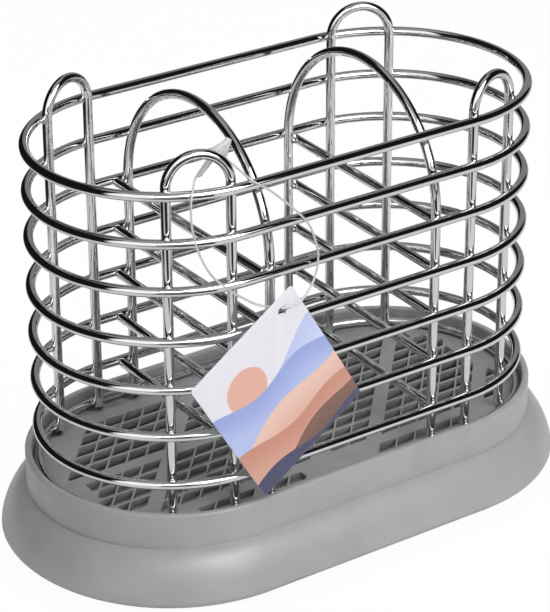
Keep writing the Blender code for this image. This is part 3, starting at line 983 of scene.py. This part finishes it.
@dataclass
class HangTag:
    """The printed card, its filament and the moulded lock."""

    card_finish: Material
    nylon: Material
    lock_finish: Material
    card_edge: float = 0.00012
    lock_edge: float = 0.0004
    hang_place: Vector = field(default_factory=lambda: Vector((-0.0494712, -0.0503, 0.1605)))
    stem_end: Vector = field(default_factory=lambda: Vector((-0.0117, 0.0, 0.0036)))
    stem_way: Vector = field(default_factory=lambda: Vector((0.784, 0.0, 0.621)))
    stem_length: float = 0.0055
    stem_share: float = 0.42
    stem_flare: float = 0.55
    stem_tip: float = 0.0012
    tip_move: Vector = field(default_factory=lambda: Vector((-0.0003, 0.0, -0.0010)))

    def build(self, nodes: dict[str, Piece]) -> None:
        """Dress the three pieces.

        Args:
            nodes: the frame's CAD nodes by name.
        """
        card = merged_copy(nodes["tag_card"], "card")
        self.soften(card, self.card_edge, 40.0, self.card_finish, "tag_card")
        lock = merged_copy(nodes["tag_toggle"], "filament_lock")
        self.slim_stem(lock)
        self.soften(lock, self.lock_edge, 60.0, self.lock_finish, "tag_toggle")
        coat(nodes["tag_loop"], self.nylon)

    @staticmethod
    def soften(piece: Piece, width: float, angle: float, finish: Material, node: str) -> None:
        """Round a piece's edges and let it take its CAD node's place.

        Args:
            piece: the copy of the CAD piece.
            width: width of the rounding.
            angle: edges over this angle in degrees stay sharp.
            finish: its material.
            node: the CAD node's name.
        """
        round_edges(piece, width, 3, 50.0)
        shade(piece, angle)
        hang(piece, finish, "tag", [node])

    def slim_stem(self, piece: Piece) -> None:
        """Narrow the lock's stem towards its own axis and take its end to the filament."""
        end = self.hang_place + self.stem_end
        for vertex in piece.data.vertices:
            off = vertex.co - end
            off.y = 0.0
            far = off.dot(self.stem_way)
            widening = min(max((far - self.stem_length) / (self.stem_flare * self.stem_length), 0.0), 1.0)
            vertex.co -= (off - self.stem_way * far) * (1.0 - self.stem_share) * (1.0 - widening)
            if far < self.stem_tip:
                vertex.co += self.tip_move


# ---- Studio

@dataclass
class Softbox:
    """A plain rectangular lamp that faces a point.

    The camera never sees it. The chrome mirrors it if seen_in_chrome says so, and it lights the matte
    surfaces if lights_matte says so.
    """

    name: str
    place: Vector
    width: float
    depth: float
    power: float
    seen_in_chrome: bool = True
    lights_matte: bool = True
    aim: Vector = field(default_factory=lambda: Vector((0.0, 0.0, 0.05)))

    def build(self) -> None:
        """Hang the lamp."""
        data = bpy.data.lights.new(self.name, "AREA")
        data.shape = "RECTANGLE"
        data.size = self.width
        data.size_y = self.depth
        data.energy = self.power
        lamp = bpy.data.objects.new(self.name, data)
        lamp.location = self.place
        lamp.rotation_euler = (self.aim - self.place).to_track_quat("-Z", "Y").to_euler()
        lamp.visible_glossy = self.seen_in_chrome
        lamp.visible_diffuse = self.lights_matte
        lamp.visible_camera = False
        bpy.context.scene.collection.objects.link(lamp)


@dataclass(frozen=True)
class RoomPatch:
    """A part of what is round the table, by its direction, as the chrome mirrors it.

    Its angles are degrees: round from the front, to the right where positive, and up from the horizon.
    """

    around: float
    half_width: float
    low: float
    high: float
    level: float
    soft: float = 8.0

    def lay(self, board: Board, way: Socket) -> Socket:
        """Mask the patch out of its surroundings.

        Args:
            board: board on the tree that shows the room or the floor.
            way: the direction that is looked in.

        Returns:
            The patch's level inside it and 0 outside.
        """
        turned = board.add("ShaderNodeVectorRotate", {"Vector": way}, rotation_type="Z_AXIS")
        board.feed(turned, {"Angle": -math.radians(self.around)})
        right, back, up = board.parts(turned.outputs[0])
        off = board.math("ABSOLUTE", board.math("ARCTAN2", right, board.math("MULTIPLY", back, -1.0)))
        side = self.step(board, off, self.half_width, 1.0, 0.0)
        rise = board.math("ARCSINE", up)
        above = self.step(board, rise, self.low, 0.0, 1.0)
        below = self.step(board, rise, self.high, 1.0, 0.0)
        inside = board.math("MULTIPLY", side, board.math("MULTIPLY", above, below))
        return board.math("MULTIPLY", inside, self.level)

    def step(self, board: Board, angle: Socket, edge: float, under: float, over: float) -> Socket:
        """Soft step from one value to another at an edge in degrees."""
        half = math.radians(self.soft / 2)
        middle = math.radians(edge)
        return board.span(angle, middle - half, middle + half, under, over, smooth=True)


@dataclass
class Studio:
    """Pale floor, soft lamps and a dim room over them, as a table-top photograph has.

    The camera sees floor and room as white. The chrome mirrors a dim room with pale patches, and a floor
    that is in the shade far off at the back left and where the camera's stand is in front.
    """

    floor_colour: Colour = (0.86, 0.86, 0.86)
    floor_in_chrome: Colour = (0.74, 0.74, 0.74)
    shade_in_chrome: Colour = (0.03, 0.03, 0.03)
    floor_size: float = 6.0
    floor_sunk: float = 0.0002
    floor_roughness: float = 0.9
    whiteness: float = 0.965
    shade_side: RoomPatch = RoomPatch(-134.0, 56.0, -90.0, 90.0, 1.0)
    shade_from: float = 0.28
    shade_to: float = 0.36
    stand_near: float = -0.215
    stand_left: float = -0.42
    stand_right: float = -0.03
    stand_soft: float = 0.02
    room_dark: float = 0.012
    room_fill: float = 0.10
    patches: tuple[RoomPatch, ...] = ()
    lamps: tuple[Softbox, ...] = ()

    def build(self) -> None:
        """Lay the floor, light the room and hang the lamps."""
        self.lay_floor()
        self.light_room()
        for lamp in self.lamps:
            lamp.build()
        bpy.context.scene.view_settings.view_transform = "Standard"

    @staticmethod
    def shown_white(board: Board, path: Node) -> Socket:
        """Mask of the camera's own rays and of those that go on through the nylon."""
        return board.math("MAXIMUM", path.outputs["Is Camera Ray"], path.outputs["Is Transmission Ray"])

    def lay_floor(self) -> None:
        """A floor that shows white with the object's shadow kept, and darker in the chrome."""
        release()
        bpy.ops.mesh.primitive_plane_add(size=self.floor_size, location=(0, 0, -self.floor_sunk))
        floor = bpy.context.object
        floor.name = "studio_floor"
        material = bpy.data.materials.new("floor_paper")
        material.use_nodes = True
        board = Board(material.node_tree)
        paper = material.node_tree.nodes["Principled BSDF"]
        path = board.add("ShaderNodeLightPath")
        mirrored = board.mix(self.shaded_floor(board), self.floor_in_chrome, self.shade_in_chrome)
        tone = board.mix(path.outputs["Is Glossy Ray"], self.floor_colour, mirrored)
        board.feed(paper, {"Base Color": tone, "Roughness": self.floor_roughness, "Specular IOR Level": 0.0})
        white = board.add("ShaderNodeEmission")
        shown = board.math("MULTIPLY", self.shown_white(board, path), self.whiteness)
        blend = board.add("ShaderNodeMixShader", {0: shown, 1: paper.outputs[0], 2: white.outputs[0]})
        board.feed(material.node_tree.nodes["Material Output"], {"Surface": blend.outputs[0]})
        floor.data.materials.append(material)

    def shaded_floor(self, board: Board) -> Socket:
        """Mask of the floor that the chrome mirrors dark: far off at the back left, and the stand in front.

        Args:
            board: board on the floor's material.

        Returns:
            The mask.
        """
        place = board.add("ShaderNodeTexCoord").outputs["Object"]
        away = board.add("ShaderNodeVectorMath", {0: place}, operation="LENGTH")
        far = board.span(away.outputs["Value"], self.shade_from, self.shade_to, smooth=True)
        x, y, _ = board.parts(place)
        near = board.span(y, self.stand_near, self.stand_near - self.stand_soft, smooth=True)
        left = board.span(x, self.stand_left, self.stand_left + self.stand_soft, smooth=True)
        right = board.span(x, self.stand_right, self.stand_right - self.stand_soft, smooth=True)
        stand = board.math("MULTIPLY", near, board.math("MULTIPLY", left, right))
        return board.math("MAXIMUM", stand, board.math("MULTIPLY", self.shade_side.lay(board, place), far))

    def light_room(self) -> None:
        """The room: white where it shows, an even fill for matte surfaces, dim with patches in the chrome."""
        world = bpy.data.worlds.new("room")
        bpy.context.scene.world = world
        world.use_nodes = True
        world.node_tree.nodes.clear()
        board = Board(world.node_tree)
        way = board.add("ShaderNodeTexCoord").outputs["Generated"]
        level: object = self.room_dark
        for patch in self.patches:
            level = board.math("MAXIMUM", level, patch.lay(board, way))
        path = board.add("ShaderNodeLightPath")
        level = board.math("MAXIMUM", level, self.shown_white(board, path))
        matte = path.outputs["Is Diffuse Ray"]
        level = board.math("MULTIPLY", level, board.math("SUBTRACT", 1.0, matte))
        level = board.math("MULTIPLY_ADD", matte, self.room_fill, level)
        room = board.add("ShaderNodeBackground", {"Strength": level})
        board.add("ShaderNodeOutputWorld", {"Surface": room.outputs[0]})


@dataclass
class PhotoCamera:
    """The camera at the photograph's place."""

    around: float = 34.73
    above: float = 26.45
    roll: float = -0.0040891
    distance: float = 0.993993
    shift_right: float = -0.0028316
    shift_up: float = -0.0030607
    target: float = 0.0839698
    lens: float = 156.17
    sensor: float = 36.0
    clip: tuple[float, float] = (0.05, 30.0)

    def build(self) -> None:
        """Make the camera and give it to the scene."""
        around, above = math.radians(self.around), math.radians(self.above)
        level = math.cos(above)
        ahead = Vector((math.sin(around) * level, math.cos(around) * level, -math.sin(above)))
        right = Vector((math.cos(around), -math.sin(around), 0.0))
        up = right.cross(ahead)
        cosine, sine = math.cos(self.roll), math.sin(self.roll)
        right, up = right * cosine + up * sine, up * cosine - right * sine
        eye = UP * self.target - ahead * self.distance + right * self.shift_right + up * self.shift_up
        data = bpy.data.cameras.new("photo_camera")
        data.lens = self.lens
        data.sensor_width = self.sensor
        data.clip_start, data.clip_end = self.clip
        camera = bpy.data.objects.new("photo_camera", data)
        turned = Matrix((right, up, -ahead)).transposed().to_4x4()
        camera.matrix_world = Matrix.Translation(eye) @ turned
        bpy.context.scene.collection.objects.link(camera)
        bpy.context.scene.camera = camera


def main() -> None:
    """Load the frame, build and dress every sub-assembly, and light them."""
    logging.basicConfig(level=logging.INFO, format="%(name)s: %(message)s")
    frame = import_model()
    groups = SurfaceGroups()
    PhotoCamera().build()
    chrome = BrightChrome("bright_chrome", (0.71, 0.715, 0.72), 0.035).build(groups)
    tray = MouldedPlastic("tray_plastic", (0.365, 0.365, 0.367), 0.36, specular=0.65).build(groups)
    grate = MouldedPlastic("grate_plastic", (0.285, 0.285, 0.287), 0.50).build(groups)
    card = PrintedCard("printed_card", (0.80, 0.79, 0.85), 0.30).build(groups)
    nylon = ClearNylon("clear_nylon", (0.70, 0.70, 0.70), 0.22).build(groups)
    lock = ClearNylon("lock_nylon", (0.74, 0.74, 0.74), 0.30, 0.30).build(groups)
    WireBasket(chrome).build()
    DripTray(tray).build()
    Grate(grate).build(frame["nodes"]["grate"])
    HangTag(card, nylon, lock).build(frame["nodes"])
    Studio(
        patches=(
            RoomPatch(4.0, 23.0, -40.0, 68.0, 0.85),
            RoomPatch(-61.0, 18.0, -12.0, 57.0, 1.6),
            RoomPatch(-32.0, 11.0, -40.0, 60.0, 0.20),
            RoomPatch(134.0, 24.0, -60.0, 80.0, 0.32),
            RoomPatch(0.0, 181.0, 62.0, 100.0, 0.45),
        ),
        lamps=(
            Softbox("strip_softbox", Vector((-0.14, -0.43, 0.38)), 0.68, 0.17, 0.80, lights_matte=False,
                    aim=Vector((-0.14, 0.0, 0.30))),
            Softbox("front_softbox", Vector((0.10, -1.04, 0.90)), 0.85, 0.90, 9.3),
            Softbox("side_softbox", Vector((-0.548, -0.877, 0.90)), 0.40, 0.45, 1.2),
            Softbox("back_softbox", Vector((0.30, 1.00, 0.80)), 0.90, 0.70, 3.4, seen_in_chrome=False),
            Softbox("ceiling_softbox", Vector((0.04, -0.02, 0.95)), 0.70, 0.70, 5.8, seen_in_chrome=False),
        )).build()


if __name__ == "__main__":
    main()
